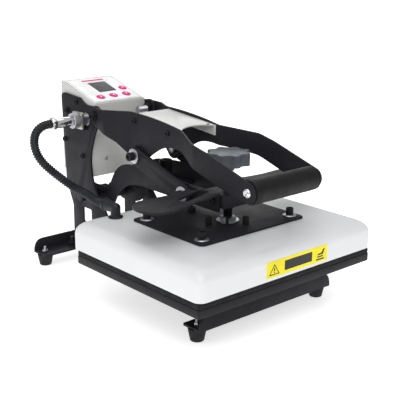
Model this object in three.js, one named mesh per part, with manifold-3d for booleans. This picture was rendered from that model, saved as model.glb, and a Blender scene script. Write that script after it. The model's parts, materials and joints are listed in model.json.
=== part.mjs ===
// Clamshell heat press, closed. Millimetres, +Z up, the grip faces -Y.
// The pieces are drawn in a working frame: x from the middle plane, y back from the front edge of the
// platen cover, z up from its lower edge. The last lines move that frame to the centre of the footprint.
import * as THREE from 'three';
import { mergeVertices } from 'three/addons/utils/BufferGeometryUtils.js';
import Module from 'manifold-3d';

const wasm = await Module();
wasm.setup();

// Overall layout
const FLOOR_Z = -80;
const MIDDLE_Y = 235;
const GAP = 0.3;

// Platens
const COVER = { w: 328, d: 274, h: 40, corner: 12, edge: 16, wall: 2, z: 0.8 };
const HOT_PLATE = { w: 306, d: 250, h: 16 };
const PAD_H = 8;
const LOWER = { w: 324, d: 261, y: 3, h: 12, corner: 1.5 };
const MOUNT_PLATE = { w: 197, y0: 70.4, y1: 220.4, h: 2.5, corner: 8 };
const MOUNT_SCREW = { x: 83.8, y0: 87, y1: 204 };

// Pivots, as (y, z)
const ARM_PIVOT = [412, 26];
const HANDLE_PIVOT = [368, 163];
const LINK_TOP = [287, 113];
const LINK_LOW = [177, 78];

// Frame
const FRAME_X = 50;
const FRAME_T = 3;
const FOOT_BAR = { half: 126, front: 42, rear: 447, flange: 34, height: 21, t: 3, z: -62 };
const FOOT = { x: 115.5, inset: 17, top: 12.5, bottom: 9.5 };

// Arms, links and handle
const ARM_X = 28.5;
const ARM_T = 3;
const WING_Z = 91;
const LINK_X = 38;
const LINK_T = 4;
const LINK_R = 14;
const BAR_T = 3;
const GRIP = { y: 25, z: 116, r: 16.5, half: 59.5, tube: 8 };
const SPINDLE = { y: 127, r: 6.8, block0: 69.5, block1: 88 };
const KNOB = { r: 31, lobes: 8, turn: 26, z0: 125, h: 17.5, hub: 8.3, hubZ: 116 };

// Controller
const BOX = {
  half: 48.5, front: 388, nose: 377, rear: 467, z0: 61.5, top: 205, lip: 179, chin: 148, wall: 2,
};
const TOP_SLOPE = Math.atan2(BOX.top - BOX.lip, BOX.rear - BOX.nose);

// Lead conduit
const PLUG = { y: 391, z: 155 };
const ELBOW = { x: -106, y: 248, z: 54, r: 7.3 };
const CONDUIT_R = 6.5;

const PAINT = { black: 0x2d2d32, white: 0xd9dcdc, warm: 0xc8c6c2 };

function material(color, roughness, metalness) {
  return new THREE.MeshStandardMaterial({ color, roughness, metalness });
}

const BLACK_COAT = material(PAINT.black, 0.55, 0.2);
const WHITE_COAT = material(PAINT.white, 0.45, 0.1);
const GREY_COAT = material(PAINT.warm, 0.5, 0.1);
const ZINC = material(0xb8bcc0, 0.35, 0.9);
const CHROME = material(0xd0d2d4, 0.15, 1);
const DARK_STEEL = material(0x1e1e21, 0.4, 0.6);
const RUBBER = material(0x2a2c30, 0.85, 0);
const PLASTIC = material(0x25272c, 0.5, 0);
const ALUMINIUM = material(0x9a9da1, 0.4, 0.8);

// Booleans

function toManifold(geometry) {
  const bare = geometry.clone();
  bare.deleteAttribute('normal');
  bare.deleteAttribute('uv');
  const merged = mergeVertices(bare, 1e-4);
  const vertProperties = new Float32Array(merged.attributes.position.array);
  const triVerts = new Uint32Array(merged.index.array);
  return new wasm.Manifold(new wasm.Mesh({ numProp: 3, vertProperties, triVerts }));
}

function fromManifold(solid) {
  const mesh = solid.getMesh();
  const geometry = new THREE.BufferGeometry();
  geometry.setAttribute('position', new THREE.BufferAttribute(new Float32Array(mesh.vertProperties), 3));
  geometry.setIndex(new THREE.BufferAttribute(new Uint32Array(mesh.triVerts), 1));
  geometry.computeVertexNormals();
  return geometry;
}

function cut(geometry, ...tools) {
  let solid = toManifold(geometry);
  for (const tool of tools) {
    solid = solid.subtract(toManifold(tool));
  }
  return fromManifold(solid);
}

function join(geometry, ...others) {
  let solid = toManifold(geometry);
  for (const other of others) {
    solid = solid.add(toManifold(other));
  }
  return fromManifold(solid);
}

function common(first, second) {
  return fromManifold(toManifold(first).intersect(toManifold(second)));
}

// Extrusions along each axis

function slab(shape, z0, z1, segments = 8) {
  const options = { depth: z1 - z0, bevelEnabled: false, curveSegments: segments };
  const geometry = new THREE.ExtrudeGeometry(shape, options);
  return geometry.translate(0, 0, z0);
}

// A plate drawn in (y, z) and extruded along x.
function sidePlate(shape, x0, x1, segments = 8) {
  const geometry = slab(shape, x0, x1, segments);
  const turn = new THREE.Matrix4().set(0, 0, 1, 0, 1, 0, 0, 0, 0, 1, 0, 0, 0, 0, 0, 1);
  return geometry.applyMatrix4(turn);
}

// A plate drawn in (x, z) and extruded along y.
function frontPlate(shape, y0, y1, segments = 8) {
  return slab(shape, -y1, -y0, segments).rotateX(Math.PI / 2);
}

function rect(x0, y0, x1, y1, r = 0) {
  const shape = new THREE.Shape();
  if (r === 0) {
    return shape.moveTo(x0, y0).lineTo(x1, y0).lineTo(x1, y1).lineTo(x0, y1);
  }
  shape.moveTo(x0 + r, y0);
  shape.lineTo(x1 - r, y0);
  shape.absarc(x1 - r, y0 + r, r, -Math.PI / 2, 0);
  shape.lineTo(x1, y1 - r);
  shape.absarc(x1 - r, y1 - r, r, 0, Math.PI / 2);
  shape.lineTo(x0 + r, y1);
  shape.absarc(x0 + r, y1 - r, r, Math.PI / 2, Math.PI);
  shape.lineTo(x0, y0 + r);
  shape.absarc(x0 + r, y0 + r, r, Math.PI, Math.PI * 1.5);
  return shape;
}

// The outline of a flat bar with two round ends.
function obround(a, b, r) {
  const angle = Math.atan2(b[1] - a[1], b[0] - a[0]);
  const shape = new THREE.Shape();
  shape.absarc(b[0], b[1], r, angle - Math.PI / 2, angle + Math.PI / 2);
  shape.absarc(a[0], a[1], r, angle + Math.PI / 2, angle + Math.PI * 1.5);
  return shape;
}

function outline(points) {
  return new THREE.Shape(points.map(([a, b]) => new THREE.Vector2(a, b)));
}

function rodX(x0, x1, y, z, r, sides = 20) {
  const rod = new THREE.CylinderGeometry(r, r, x1 - x0, sides);
  return rod.rotateZ(Math.PI / 2).translate((x0 + x1) / 2, y, z);
}

function rodZ(x, y, z0, z1, r, sides = 20) {
  const rod = new THREE.CylinderGeometry(r, r, z1 - z0, sides);
  return rod.rotateX(Math.PI / 2).translate(x, y, (z0 + z1) / 2);
}

// A turned piece: (radius, height) points from the axis back to the axis, standing on +Z.
function turned(profile, sides = 20) {
  const points = profile.map(([r, h]) => new THREE.Vector2(r, h));
  return new THREE.LatheGeometry(points, sides).rotateX(Math.PI / 2);
}

// A turned piece whose axis points along +X or -X.
function turnedX(profile, x, y, z, direction, sides = 20) {
  return turned(profile, sides).rotateY(direction * Math.PI / 2).translate(x, y, z);
}

const machine = new THREE.Group();

function add(name, geometry, look) {
  const mesh = new THREE.Mesh(geometry, look);
  mesh.name = name;
  machine.add(mesh);
  return mesh;
}

const SIDES = [['left', -1], ['right', 1]];

// Mirrors a geometry drawn for the left side when the side is the right one.
function forSide(geometry, side) {
  if (side < 0) {
    return geometry;
  }
  const mirrored = geometry.index ? geometry.toNonIndexed() : geometry.clone();
  mirrored.scale(-1, 1, 1);
  const p = mirrored.attributes.position;
  const swap = new THREE.Vector3();
  const keep = new THREE.Vector3();
  for (let i = 0; i < p.count; i += 3) {
    keep.fromBufferAttribute(p, i + 1);
    swap.fromBufferAttribute(p, i + 2);
    p.setXYZ(i + 1, swap.x, swap.y, swap.z);
    p.setXYZ(i + 2, keep.x, keep.y, keep.z);
  }
  mirrored.computeVertexNormals();
  return mirrored;
}

// Frame

// One side plate: an upright with the pivot lug on its front edge, and a rail under the lower platen.
function sideFrame() {
  const shape = new THREE.Shape();
  const [py, pz] = HANDLE_PIVOT;
  const railTop = -LOWER.h - PAD_H - 2 * GAP;
  const railFoot = FOOT_BAR.z + FOOT_BAR.t + GAP;
  shape.moveTo(FOOT_BAR.front + 4, railFoot);
  shape.lineTo(439, railFoot);
  shape.lineTo(439, 6);
  shape.lineTo(449, 28);
  shape.lineTo(457, 50);
  shape.lineTo(459, 92);
  shape.lineTo(463, 180);
  shape.quadraticCurveTo(463, 188, 455, 188);
  shape.lineTo(411, 185);
  shape.quadraticCurveTo(403, 178, 392, 176);
  shape.absarc(py, pz, 15, Math.PI * 0.35, Math.PI * 1.42);
  shape.quadraticCurveTo(382, 118, 386, 92);
  shape.quadraticCurveTo(386, 58, 372, 38);
  shape.lineTo(348, 12);
  shape.quadraticCurveTo(338, 0, 330, railTop);
  shape.lineTo(FOOT_BAR.front + 10, railTop);
  shape.lineTo(FOOT_BAR.front + 4, railTop - 6);
  const plate = sidePlate(shape, -FRAME_X - FRAME_T, -FRAME_X);
  const window = sidePlate(rect(387.5, -16, 411, 8.5, 3), -60, -40);
  const armHole = rodX(-60, -40, ...ARM_PIVOT, 8.3);
  const handleHole = rodX(-60, -40, ...HANDLE_PIVOT, 6.3);
  return cut(plate, window, armHole, handleHole);
}

// An L section bar with its upright flange on the outside and round shoulders at the ends.
function footBar(wallY, inward) {
  const { half, flange, height, t, z } = FOOT_BAR;
  const wall = new THREE.Shape();
  wall.moveTo(-half, z);
  wall.lineTo(half, z);
  wall.quadraticCurveTo(half, z + height, half - 16, z + height);
  wall.lineTo(16 - half, z + height);
  wall.quadraticCurveTo(-half, z + height, -half, z);
  const innerY = wallY + inward * t;
  const upright = frontPlate(wall, Math.min(wallY, innerY), Math.max(wallY, innerY), 6);
  const y0 = Math.min(wallY, wallY + inward * flange);
  const y1 = Math.max(wallY, wallY + inward * flange);
  const ledge = slab(rect(-half, y0, half, y1, 2), z, z + t, 3);
  return join(upright, ledge);
}

function rubberFoot() {
  const h = FOOT_BAR.z - GAP - FLOOR_Z;
  const side = [[FOOT.bottom - 0.8, 0], [FOOT.bottom, 1], [FOOT.top, h - 1.5], [FOOT.top, h]];
  return turned([[0, 0], ...side, [0, h]], 20);
}

function tieBar() {
  const bar = rodX(-FRAME_X + GAP, FRAME_X - GAP, 424, -36, 7, 16);
  return bar;
}

function buildFrame() {
  for (const [name, side] of SIDES) {
    add(`${name}_side_frame`, forSide(sideFrame(), side), BLACK_COAT);
  }
  add('front_foot_bar', footBar(FOOT_BAR.front, 1), BLACK_COAT);
  add('rear_foot_bar', footBar(FOOT_BAR.rear, -1), BLACK_COAT);
  for (const [end, y] of [['front', FOOT_BAR.front + FOOT.inset], ['rear', FOOT_BAR.rear - FOOT.inset]]) {
    for (const [name, side] of SIDES) {
      add(`${end}_${name}_foot`, rubberFoot().translate(side * FOOT.x, y, FLOOR_Z), RUBBER);
    }
  }
  add('frame_tie_bar', tieBar(), BLACK_COAT);
  add('arm_pivot_shaft', rodX(-58, 58, ...ARM_PIVOT, 8), DARK_STEEL);
  for (const [name, side] of SIDES) {
    add(`${name}_handle_pivot`, forSide(handlePivot(), side), DARK_STEEL);
  }
}

// A stub bolt through the upright and the handle bar, with a domed head outside and a collar inside.
function handlePivot() {
  const [y, z] = HANDLE_PIVOT;
  const head = [[0, 0], [8.6, 0], [8.6, 1.8], [5.4, 1.8], [5.4, 4], [3.6, 5.6], [0, 6]];
  const collar = rodX(-29.5, -27, y, z, 7.2);
  return join(rodX(-58.5, -28, y, z, 6), turnedX(head, -57.5, y, z, -1), collar);
}

// Lower platen

function buildLowerPlaten() {
  const half = LOWER.w / 2;
  const padTop = -GAP;
  const padFoot = padTop - PAD_H;
  const plateTop = padFoot - GAP;
  const shape = rect(-half, LOWER.y, half, LOWER.y + LOWER.d, LOWER.corner);
  add('silicone_pad', slab(shape, padFoot, padTop, 5), RUBBER);
  add('lower_platen', slab(shape, plateTop - LOWER.h + GAP, plateTop, 5), DARK_STEEL);
}

// Controller housing

function boxSection(inset) {
  const { front, nose, rear, z0, top, lip, chin } = BOX;
  return outline([
    [front + inset, z0 + inset],
    [rear + inset * 2, z0 + inset],
    [rear + inset * 2, top - inset],
    [nose + inset, lip - inset * 1.1],
    [nose + inset, chin + inset],
    [front + inset, chin - 18 + inset],
  ]);
}

function controlBox() {
  const { half, wall } = BOX;
  const outside = sidePlate(boxSection(0), -half, half);
  const inside = sidePlate(boxSection(wall), -half + wall, half - wall);
  return cut(outside, inside);
}

// Places a geometry drawn flat at the origin on the sloping top of the control box.
function onTop(geometry, x, y, lift) {
  const z = BOX.top - (BOX.rear - y) * Math.tan(TOP_SLOPE);
  const back = lift * Math.sin(TOP_SLOPE);
  const up = lift * Math.cos(TOP_SLOPE);
  return geometry.rotateX(TOP_SLOPE).translate(x, y - back, z + up);
}

const BUTTONS = [[-24, 395], [1, 396], [26, 396], [34, 417]];
const DISPLAY = { x: 2, y: 428.5, w: 34, d: 37 };

// The overlay carries the window of the display and a clear hole over each button.
function panelOverlay() {
  const { nose, rear, half } = BOX;
  const midY = (nose + rear) / 2;
  const length = (rear - nose) / Math.cos(TOP_SLOPE) - 5;
  const sheet = onTop(slab(rect(-half + 2.5, -length / 2, half - 2.5, length / 2, 2), 0, 1, 3), 0, midY, GAP);
  const holes = BUTTONS.map(([x, y]) => onTop(rodZ(0, 0, -3, 4, 7.3, 24), x, y, 0));
  const { x, y, w, d } = DISPLAY;
  const glass = onTop(slab(rect(-w / 2, -d / 2, w / 2, d / 2), -3, 4), x, y, 0);
  return cut(sheet, glass, ...holes);
}

function displayWindow() {
  const { x, y, w, d } = DISPLAY;
  return onTop(slab(rect(0.3 - w / 2, 0.3 - d / 2, w / 2 - 0.3, d / 2 - 0.3), 0, 0.8), x, y, GAP);
}

function button() {
  return turned([[0, 0], [7, 0], [7, 0.9], [6.2, 1.4], [0, 1.6]], 24);
}

function rearCover() {
  const { half, rear, z0, top } = BOX;
  const sheet = frontPlate(rect(-half, z0, half, top, 1.5), rear + GAP, rear + GAP + 1.5, 3);
  const rocker = frontPlate(rect(-32, 92, -12, 106), rear - 2, rear + 4);
  const inlet = frontPlate(rect(4, 86, 32, 108), rear - 2, rear + 4);
  return cut(sheet, rocker, inlet);
}

// The lead inlet: a block behind the rear cover with an open socket.
function powerInlet() {
  const { rear } = BOX;
  const block = frontPlate(rect(4.4, 86.4, 31.6, 107.6, 2), rear - 18, rear + 3, 3);
  const mouth = frontPlate(rect(7, 89, 29, 105, 3), rear - 12, rear + 6, 3);
  return cut(block, mouth);
}

// The rocker rests tilted about an upright pin, and the other way when switched over.
const ROCKER = { x: -22, y: 463.6, half: 8.8, tilt: 8 * Math.PI / 180 };

function powerRocker() {
  const { x, y, half, tilt } = ROCKER;
  const shape = outline([[-half, -2], [half, -2], [half, 5], [0, 4], [-half, 5]]);
  return slab(shape, 92.8, 105.2).rotateZ(tilt).translate(x, y, 0);
}

function buildController() {
  add('control_box', controlBox(), GREY_COAT);
  add('rear_cover', rearCover(), GREY_COAT);
  add('panel_overlay', panelOverlay(), WHITE_COAT);
  add('display_window', displayWindow(), PLASTIC);
  BUTTONS.forEach(([x, y], i) => {
    add(`panel_button_${i + 1}`, onTop(button(), x, y, GAP + 0.5), material(0xd0106c, 0.5, 0));
  });
  add('power_inlet', powerInlet(), PLASTIC);
  add('power_rocker', powerRocker(), PLASTIC);
}

// Lead conduit with its panel socket, plug and elbow

function socketFlange() {
  const { y, z } = PLUG;
  const wall = -FRAME_X - FRAME_T - GAP;
  const barrel = join(rodX(-69, wall, y, z, 8.8), rodX(wall - 2.4, wall, y, z, 9.8));
  const square = sidePlate(rect(y - 13, z - 13, y + 13, z + 13, 3), -71.5, -68.5, 3);
  return join(barrel, square, rodX(-76.5, -71, y, z, 6.5));
}

function couplingRing() {
  const { y, z } = PLUG;
  const outer = rodX(-82.5, -71.8, y, z, 12, 28);
  return cut(outer, rodX(-76.8, -71, y, z, 6.9), rodX(-90, -71, y, z, 5.2));
}

function plugSleeve() {
  const { y, z } = PLUG;
  const profile = [[0, 0], [4.9, 0], [4.9, 5.8], [8, 5.8], [8, 34], [0, 34]];
  return turnedX(profile, -77, y, z, -1, 24);
}

function glandNut() {
  const { y, z } = PLUG;
  const hex = new THREE.CylinderGeometry(10.2, 10.2, 7, 6).rotateZ(Math.PI / 2).translate(-114.8, y, z);
  return join(hex, rodX(-119.2, -116, y, z, 8.2, 24));
}

// The centreline of the conduit, from the gland to the elbow.
const ROUTE = [
  [-119.5, 391, 155], [-125, 391, 155], [-134, 390.5, 153.4], [-145, 388.5, 147.5], [-152.5, 384, 138],
  [-155.5, 378, 126],
  [-154, 373, 115], [-149.5, 366, 104], [-142, 359, 94], [-134, 350, 84.5],
  [-126.5, 342.5, 73], [-119, 336.2, 69.3], [-111, 314.3, 61.6], [-106.5, 292.9, 54.4],
  [-106, 279, 54.1], [-106, 273, 54],
];

function conduit() {
  const curve = new THREE.CatmullRomCurve3(ROUTE.map((p) => new THREE.Vector3(...p)));
  const section = new THREE.Shape();
  section.absarc(0, 0, CONDUIT_R, 0, Math.PI * 2);
  return new THREE.ExtrudeGeometry(section, { steps: 30, extrudePath: curve, curveSegments: 5 });
}

function elbow() {
  const { x, y, z, r } = ELBOW;
  const base = COVER.h + GAP;
  const foot = turned([[0, 0], [10.8, 0], [10.8, 1.3], [r, 2.6], [0, 2.6]], 24).translate(x, y, base);
  const along = new THREE.CylinderGeometry(9, 7.4, 24.5, 24).translate(x, y + 12.25, z);
  const collar = new THREE.CylinderGeometry(9.5, 9.5, 4, 24).translate(x, y + 22.5, z);
  const ball = new THREE.SphereGeometry(r + 0.2, 20, 12).translate(x, y, z);
  return join(rodZ(x, y, base + 1, z, r, 24), foot, ball, along, collar);
}

function buildConduit() {
  add('panel_socket', socketFlange(), ZINC);
  add('coupling_ring', couplingRing(), ZINC);
  add('plug_sleeve', plugSleeve(), CHROME);
  add('gland_nut', glandNut(), CHROME);
  add('conduit', conduit(), PLASTIC);
  add('conduit_elbow', elbow(), PLASTIC);
}

// Arms

// The side of one arm: a hump over the rear edge of the platen, then a straight beam to the front.
function armSide() {
  const [py, pz] = ARM_PIVOT;
  const shape = new THREE.Shape();
  shape.absarc(py, pz, 19, -Math.PI / 2, Math.PI * 0.6);
  shape.lineTo(378, 45);
  shape.quadraticCurveTo(368, 48, 361, 60);
  shape.quadraticCurveTo(345, 92, 312, 93);
  shape.quadraticCurveTo(270, 99, 238, 97);
  shape.lineTo(180, WING_Z);
  shape.lineTo(112, WING_Z);
  shape.lineTo(112, 64);
  shape.lineTo(262, 65);
  shape.quadraticCurveTo(330, 70, 351, 31);
  shape.quadraticCurveTo(362, 9, 392, 7);
  return shape;
}

// A flat wing bent out of the top edge of an arm, with a slot, and notched where the link passes.
function armWing() {
  const wing = new THREE.Shape();
  const root = -ARM_X - ARM_T + 0.5;
  wing.moveTo(root, 112);
  wing.lineTo(-76, 105.5);
  wing.quadraticCurveTo(-98, 98, -122, 91.5);
  wing.quadraticCurveTo(-158, 86, -162, 118);
  wing.quadraticCurveTo(-162, 148, -136, 154);
  wing.lineTo(-92, 151);
  wing.quadraticCurveTo(-66, 152, -47, 157);
  wing.lineTo(-45.5, 146);
  wing.lineTo(-36.5, 146);
  wing.lineTo(-36, 170);
  wing.lineTo(root, 172);
  const slot = obround([-86, 120], [-42, 134], 8);
  return cut(slab(wing, WING_Z - ARM_T, WING_Z), slab(slot, WING_Z - 10, WING_Z + 10));
}

function arm() {
  const side = sidePlate(armSide(), -ARM_X - ARM_T, -ARM_X);
  const pivotHole = rodX(-60, 0, ...ARM_PIVOT, 8.4);
  return join(cut(side, pivotHole), armWing());
}

function spindleBlock() {
  const { y, r, block0, block1 } = SPINDLE;
  const half = ARM_X - GAP;
  const block = slab(rect(-half, 104, half, 150, 3), block0, block1, 3);
  return cut(block, rodZ(0, y, block0 - 5, block1 + 5, r + 0.5, 24));
}

function crossBar() {
  const half = ARM_X - GAP;
  const bar = frontPlate(rect(-half, 68, half, 74), 236, 292);
  return cut(bar, rodZ(0, 264, 60, 80, 5.3));
}

// A sprung stop: a thick barrel on the cross bar with a stem through it.
function stopDamper() {
  const body = [[5, 0], [5, 14.3], [10, 14.3], [10, 26], [9, 27], [9, 31], [10, 32], [10, 44], [8.5, 46]];
  const profile = [[0, 0], ...body, [0, 46]];
  return turned(profile, 20).translate(0, 264, 60);
}

function torsionSpring() {
  const turns = 6;
  const pitch = 3.7;
  const profile = [[9, 0]];
  for (let i = 0; i < turns; i += 1) {
    profile.push([12, i * pitch + 0.2], [13, i * pitch + pitch / 2], [12, i * pitch + pitch - 0.2]);
  }
  profile.push([9, turns * pitch], [9, 0]);
  return turnedX(profile, -26, ...ARM_PIVOT, 1, 14);
}

function buildArms() {
  for (const [name, side] of SIDES) {
    add(`${name}_arm`, forSide(arm(), side), BLACK_COAT);
    add(`${name}_return_spring`, forSide(torsionSpring(), side), ZINC);
  }
  add('spindle_block', spindleBlock(), BLACK_COAT);
  add('arm_cross_bar', crossBar(), BLACK_COAT);
  add('stop_damper', stopDamper(), DARK_STEEL);
}

// Links

function link() {
  const plate = sidePlate(obround(LINK_TOP, LINK_LOW, LINK_R), -LINK_X - LINK_T, -LINK_X, 10);
  const top = rodX(-60, -20, ...LINK_TOP, 5.4);
  const low = rodX(-60, -20, ...LINK_LOW, 5.4);
  return cut(plate, top, low);
}

// A screw with a wide washer under its head. Its shank runs inwards for the given length.
function pivotScrew([y, z], shank) {
  const x = -LINK_X - LINK_T - GAP;
  const head = [[0, 0], [11.5, 0], [11.5, 1.8], [6, 1.8], [6, 8], [5, 9], [0, 9]];
  return join(turnedX(head, x, y, z, -1, 24), rodX(x - 0.5, x + shank, y, z, 5));
}

// The lower screw also carries the spacer rings between the link and the arm.
function lowerPin() {
  const x = -LINK_X + GAP;
  const rings = [[0, 0], [8, 0], [8, 1.6], [6.5, 1.6], [6.5, 3.4], [8, 3.4], [8, 5.4], [0, 5.4]];
  return join(pivotScrew(LINK_LOW, 5), turnedX(rings, x, ...LINK_LOW, 1, 20));
}

function buildLinks() {
  for (const [name, side] of SIDES) {
    add(`${name}_link`, forSide(link(), side), BLACK_COAT);
    add(`${name}_lower_pin`, forSide(lowerPin(), side), ZINC);
  }
}

// Handle

// Rounds each inner corner of a line of points.
function eased(points, reach) {
  const out = [points[0]];
  for (let i = 1; i < points.length - 1; i += 1) {
    const corner = new THREE.Vector2(...points[i]);
    const from = new THREE.Vector2(...points[i - 1]).sub(corner).setLength(reach).add(corner);
    const to = new THREE.Vector2(...points[i + 1]).sub(corner).setLength(reach).add(corner);
    const curve = new THREE.QuadraticBezierCurve(from, corner, to);
    out.push(...curve.getPoints(3).map((p) => [p.x, p.y]));
  }
  out.push(points[points.length - 1]);
  return out;
}

// The plan of a bent flat bar: a centreline in (x, y) given a thickness.
function bentStrip(points, t) {
  const edge = (sign) => points.map(([x, y], i) => {
    const before = points[Math.max(i - 1, 0)];
    const after = points[Math.min(i + 1, points.length - 1)];
    const along = new THREE.Vector2(after[0] - before[0], after[1] - before[1]).normalize();
    return [x - sign * along.y * (t / 2), y + sign * along.x * (t / 2)];
  });
  return outline([...edge(1), ...edge(-1).reverse()]);
}

const BAR_PLAN = [[-55.5, 400], [-55.5, 344], [-34.5, 304], [-34.5, 186], [-61.5, 131], [-61.5, 0]];

function barSide() {
  const [py, pz] = HANDLE_PIVOT;
  const [ly, lz] = LINK_TOP;
  const { y: gy, z: gz } = GRIP;
  const shape = new THREE.Shape();
  shape.absarc(gy, gz, 13.4, Math.PI * 0.62, Math.PI * 1.62);
  shape.lineTo(80, 112.5);
  shape.lineTo(118, 124);
  shape.quadraticCurveTo(150, 133, 182, 136);
  shape.quadraticCurveTo(214, 142, 236, 130);
  shape.quadraticCurveTo(258, 118, 272, 104);
  shape.absarc(ly, lz, 15, Math.PI * 1.2, Math.PI * 1.85);
  shape.lineTo(325, 128);
  shape.lineTo(352, 143);
  shape.absarc(py, pz, 13, Math.PI * 1.62, Math.PI * 2.5);
  shape.lineTo(350, 175.5);
  shape.lineTo(303, 177);
  shape.quadraticCurveTo(238, 176, 185, 166);
  shape.lineTo(130, 159);
  shape.lineTo(100, 152.5);
  return shape;
}

function handleBar() {
  const profile = sidePlate(barSide(), -80, -20, 10);
  const plan = slab(bentStrip(eased(BAR_PLAN, 4), BAR_T), 60, 220);
  const bar = common(profile, plan);
  return cut(bar, rodX(-80, -40, ...HANDLE_PIVOT, 6.4), rodX(-40, -20, ...LINK_TOP, 5.4));
}

function grip() {
  const { y, z, r, half, tube } = GRIP;
  const bore = tube + GAP;
  const skin = [[r - 2, 0], [r, 2], [r, 2 * half - 2], [r - 2, 2 * half]];
  const profile = [[bore, 0], ...skin, [bore, 2 * half], [bore, 0]];
  return turnedX(profile, -half, y, z, 1, 28);
}

function endBolt() {
  const { y, z } = GRIP;
  return turnedX([[0, 0], [6.5, 0], [6.2, 1.4], [4.6, 3], [2.6, 3.8], [0, 4]], -63.3, y, z, -1, 20);
}

// A thin inverted channel between the bars, with a hollowed front edge.
function handleCover() {
  const half = 32.6;
  const rise = Math.atan2(9, 109);
  const channel = outline([
    [-half, -15], [1.5 - half, -15], [1.5 - half, -1.5], [half - 1.5, -1.5],
    [half - 1.5, -15], [half, -15], [half, 0], [-half, 0],
  ]);
  const sheet = frontPlate(channel, 0, 112).rotateX(rise).translate(0, 185, 165);
  const bite = new THREE.CylinderGeometry(44, 44, 60, 40).rotateX(Math.PI / 2).translate(0, 160, 165);
  return cut(sheet, bite);
}

function buildHandle() {
  for (const [name, side] of SIDES) {
    add(`${name}_handle_bar`, forSide(handleBar(), side), BLACK_COAT);
    add(`${name}_upper_link_screw`, forSide(pivotScrew(LINK_TOP, 14), side), ZINC);
    add(`${name}_grip_bolt`, forSide(endBolt(), side), CHROME);
  }
  add('handle_tube', rodX(-59.7, 59.7, GRIP.y, GRIP.z, GRIP.tube), ALUMINIUM);
  add('handle_grip', grip(), RUBBER);
  add('handle_cover', handleCover(), GREY_COAT);
}

// Heated platen

// One level of the cover: a rounded rectangle set in from the sides, rounder the further it is set in.
function coverRing(inset, z) {
  const { w, d, corner } = COVER;
  const r = corner + inset * 0.5;
  const x0 = w / 2 - inset - r;
  const near = inset + r;
  const far = d - inset - r;
  const corners = [[[x0, near], -90], [[x0, far], 0], [[-x0, far], 90], [[-x0, near], 180]];
  const points = [];
  for (const [[x, y], start] of corners) {
    for (let i = 0; i <= 6; i += 1) {
      const angle = THREE.MathUtils.degToRad(start + i * 15);
      points.push([x + r * Math.cos(angle), y + r * Math.sin(angle), z]);
    }
  }
  return points;
}

// Joins rings with the same number of points, and closes the ends.
function loft(rings) {
  const n = rings[0].length;
  const position = rings.flat(2);
  const index = [];
  for (let j = 0; j < rings.length - 1; j += 1) {
    for (let i = 0; i < n; i += 1) {
      const a = j * n + i;
      const b = j * n + (i + 1) % n;
      index.push(a, b, b + n, a, b + n, a + n);
    }
  }
  const last = (rings.length - 1) * n;
  for (let i = 1; i < n - 1; i += 1) {
    index.push(0, i + 1, i, last, last + i, last + i + 1);
  }
  const geometry = new THREE.BufferGeometry();
  geometry.setAttribute('position', new THREE.BufferAttribute(new Float32Array(position), 3));
  geometry.setIndex(index);
  geometry.computeVertexNormals();
  return geometry;
}

// A tray standing upside down, with a wide rounded top edge.
function coverForm(inset, foot) {
  const { h, edge } = COVER;
  const r = edge - inset;
  const rings = [coverRing(inset, foot)];
  for (let i = 0; i <= 5; i += 1) {
    const angle = i / 5 * Math.PI / 2;
    rings.push(coverRing(edge - r * Math.cos(angle), h - edge + r * Math.sin(angle)));
  }
  return loft(rings);
}

function platenCover() {
  const { wall, z } = COVER;
  return cut(coverForm(0, z), coverForm(wall, z - 2));
}

function cornerScrew() {
  return turned([[0, 0], [10, 0], [10, 0.8], [8.2, 1.8], [5.2, 1.8], [5.2, 9], [4.6, 9.6], [0, 9.6]], 20);
}

// The swivel flange that the spindle presses on.
function spindleFlange() {
  return turned([[0, 0], [16.5, 0], [16.5, 1], [14, 3.2], [10.5, 3.2], [10.5, 6.5], [0, 6.5]], 28);
}

function spindle() {
  const top = MOUNT_TOP + 6.5 + GAP * 2;
  return rodZ(0, SPINDLE.y, top, KNOB.hubZ - GAP, SPINDLE.r, 24);
}

const MOUNT_TOP = COVER.h + GAP + MOUNT_PLATE.h;

// A lobed knob: its rim swings in and out around the turn.
function knob() {
  const { r, lobes, turn, z0, h, hub, hubZ } = KNOB;
  const points = [];
  const steps = lobes * 8;
  for (let i = 0; i < steps; i += 1) {
    const angle = i / steps * Math.PI * 2;
    const swing = Math.cos(lobes * (angle - THREE.MathUtils.degToRad(turn)));
    const radius = r - 2.6 + 2.6 * Math.tanh(1.6 * swing) / Math.tanh(1.6);
    points.push([radius * Math.cos(angle), radius * Math.sin(angle)]);
  }
  const lobed = slab(outline(points), z0, z0 + h);
  return join(lobed, rodZ(0, 0, hubZ, z0 + 1, hub, 24)).translate(0, SPINDLE.y, 0);
}

function buildPlaten() {
  const half = HOT_PLATE.w / 2;
  const y0 = (COVER.d - HOT_PLATE.d) / 2;
  const { w, y0: plate0, y1: plate1, corner } = MOUNT_PLATE;
  add('platen_cover', platenCover(), WHITE_COAT);
  add('heating_plate', slab(rect(-half, y0, half, y0 + HOT_PLATE.d, 10), 0, HOT_PLATE.h, 4), ALUMINIUM);
  const plate = slab(rect(-w / 2, plate0, w / 2, plate1, corner), COVER.h + GAP, MOUNT_TOP, 5);
  add('mounting_plate', plate, BLACK_COAT);
  const { x, y0: front, y1: rear } = MOUNT_SCREW;
  for (const [end, y] of [['front', front], ['rear', rear]]) {
    for (const [name, side] of SIDES) {
      add(`${end}_${name}_mount_screw`, cornerScrew().translate(side * x, y, MOUNT_TOP + GAP), ZINC);
    }
  }
  add('spindle_flange', spindleFlange().translate(0, SPINDLE.y, MOUNT_TOP + GAP), ZINC);
  add('pressure_spindle', spindle(), DARK_STEEL);
  add('pressure_knob', knob(), material(0x5f646b, 0.5, 0));
}

buildFrame();
buildLowerPlaten();
buildController();
buildConduit();
buildArms();
buildLinks();
buildHandle();
buildPlaten();

machine.position.set(0, -MIDDLE_Y, -FLOOR_Z);
const press = new THREE.Group();
press.add(machine);

export default press;
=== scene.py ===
import json
import math

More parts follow.
